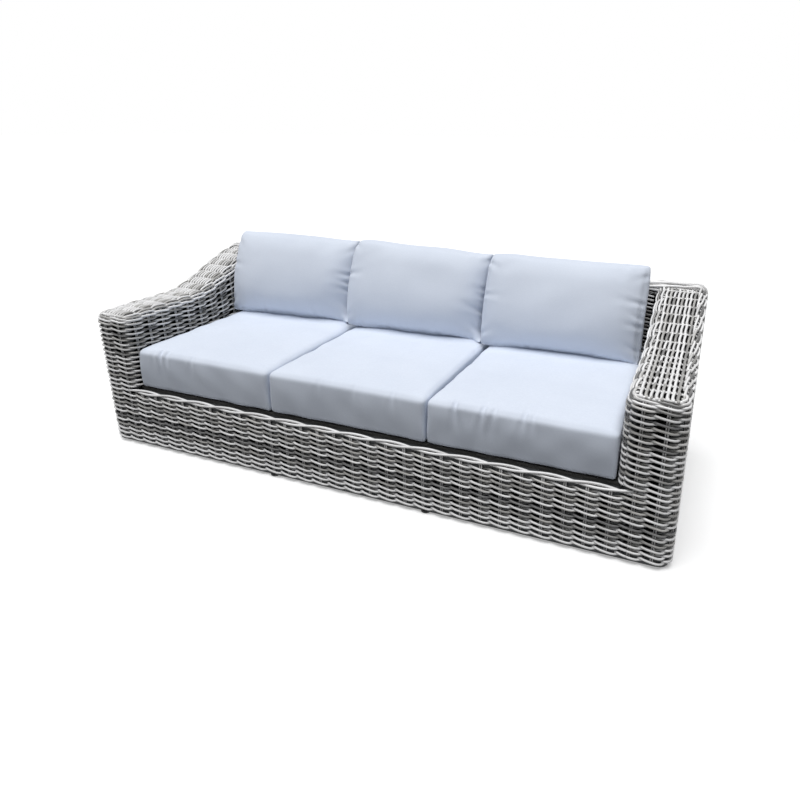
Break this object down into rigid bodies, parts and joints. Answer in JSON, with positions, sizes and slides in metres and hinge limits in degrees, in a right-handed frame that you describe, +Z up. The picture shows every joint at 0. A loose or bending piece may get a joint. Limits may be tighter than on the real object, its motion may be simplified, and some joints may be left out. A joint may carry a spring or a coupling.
{
  "type": "garden sofa",
  "caption": "Woven rattan garden sofa with boxed arms that sweep up to the back, and loose seat and back cushions.",
  "frame": {"origin": "on the floor, under the middle of the sofa's bounding box", "axes": "+X along the sofa to the sitter's left, which is the viewer's right, +Y from the front to the back, +Z up"},
  "size_m": [2.3, 0.87, 0.7802],
  "materials": {
    "rattan": "whitewashed grey synthetic rattan, satin",
    "frame_tube": "charcoal powder coat, satin",
    "cushion_fabric": "light blue-grey woven cloth, matt",
    "glide_plastic": "black moulded plastic, matt"
  },
  "bodies": {
    "root": {"base_rail_front": "frame_tube", "glide_front_left_middle": "glide_plastic", "glide_front_right_middle": "glide_plastic", "base_rail_rear": "frame_tube", "glide_rear_left_middle": "glide_plastic", "glide_rear_right_middle": "glide_plastic", "base_rail_left": "frame_tube", "glide_front_left_corner": "glide_plastic", "glide_rear_left_corner": "glide_plastic", "base_cross_rail_left": "frame_tube", "base_rail_right": "frame_tube", "glide_front_right_corner": "glide_plastic", "glide_rear_right_corner": "glide_plastic", "base_cross_rail_right": "frame_tube", "seat_rail_front": "frame_tube", "seat_leg_front_left": "frame_tube", "seat_leg_front_right": "frame_tube", "seat_rail_rear": "frame_tube", "seat_leg_rear_left": "frame_tube", "seat_leg_rear_right": "frame_tube", "seat_bearer_far_left": "frame_tube", "seat_bearer_left": "frame_tube", "seat_bearer_middle": "frame_tube", "seat_bearer_right": "frame_tube", "seat_bearer_far_right": "frame_tube", "arm_seat_rail_left": "frame_tube", "arm_seat_rail_right": "frame_tube", "back_top_rail": "frame_tube", "back_stile_left": "frame_tube", "back_stile_right": "frame_tube", "arm_top_rail_left": "frame_tube", "arm_post_front_inner_left": "frame_tube", "arm_post_front_outer_left": "frame_tube", "arm_post_side_left": "frame_tube", "back_post_outer_left": "frame_tube", "back_post_inner_left": "frame_tube", "arm_top_rail_right": "frame_tube", "arm_post_front_inner_right": "frame_tube", "arm_post_front_outer_right": "frame_tube", "arm_post_side_right": "frame_tube", "back_post_outer_right": "frame_tube", "back_post_inner_right": "frame_tube", "arm_weave_right": "rattan", "arm_weave_left": "rattan", "back_weave": "rattan", "front_weave": "rattan", "seat_deck_weave": "rattan", "seat_cushion_left": "cushion_fabric", "back_cushion_left": "cushion_fabric", "seat_cushion_middle": "cushion_fabric", "back_cushion_middle": "cushion_fabric", "seat_cushion_right": "cushion_fabric", "back_cushion_right": "cushion_fabric"}
  },
  "joints": []
}
